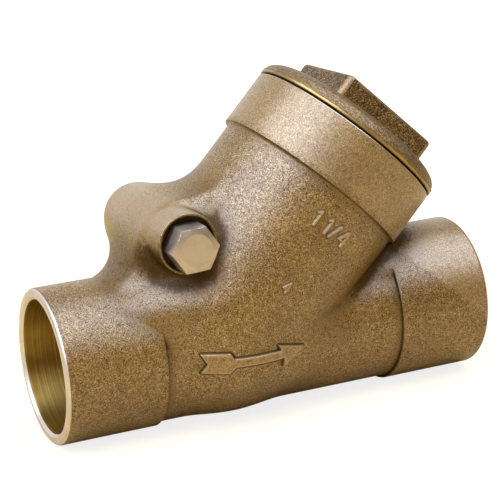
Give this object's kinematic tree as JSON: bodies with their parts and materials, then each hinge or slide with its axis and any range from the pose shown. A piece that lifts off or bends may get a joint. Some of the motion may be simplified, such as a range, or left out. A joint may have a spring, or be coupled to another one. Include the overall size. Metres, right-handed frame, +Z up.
{
  "type": "swing check valve",
  "caption": "Bronze swing check valve with solder cup ends, an inclined neck with a screwed square-head cap, and a plugged hinge-pin boss.",
  "frame": {"origin": "centre of the inlet end face, on the pipe's axis", "axes": "+X along the pipe in the direction of flow, +Z up on the side of the neck, +Y away from the plugged end of the hinge pin"},
  "size_m": [0.1202, 0.0554, 0.0895],
  "materials": {
    "bronze_body": "rough sand-cast bronze",
    "bronze_cap": "sand-cast bronze with a turned edge",
    "machined_brass": "machined",
    "bronze_inner": "satin cast bronze",
    "ptfe": "smooth white fluoropolymer",
    "gasket": "dull dark gasket"
  },
  "bodies": {
    "valve_body": {"valve_body": "bronze_body", "cap": "bronze_cap", "cap_gasket": "gasket", "hinge_pin": "machined_brass", "hinge_pin_plug": "machined_brass"},
    "hanger": {"disc_hanger": "bronze_inner"},
    "disc": {"disc_holder": "bronze_inner", "seat_disc": "ptfe", "seat_disc_washer": "machined_brass", "seat_disc_nut": "machined_brass", "hanger_washer": "machined_brass", "hanger_nut": "machined_brass"}
  },
  "joints": [
    {"name": "disc_swing", "type": "hinge", "parent": "valve_body", "child": "hanger", "pos_m": [0.03452, 0, 0.03098], "axis": [0, -1, 0], "range_deg": [0, 50]},
    {"name": "disc_spin", "type": "hinge", "parent": "hanger", "child": "disc", "pos_m": [0.05387, 0, 0.01229], "axis": [0.6947, 0, 0.7193], "continuous": true}
  ]
}
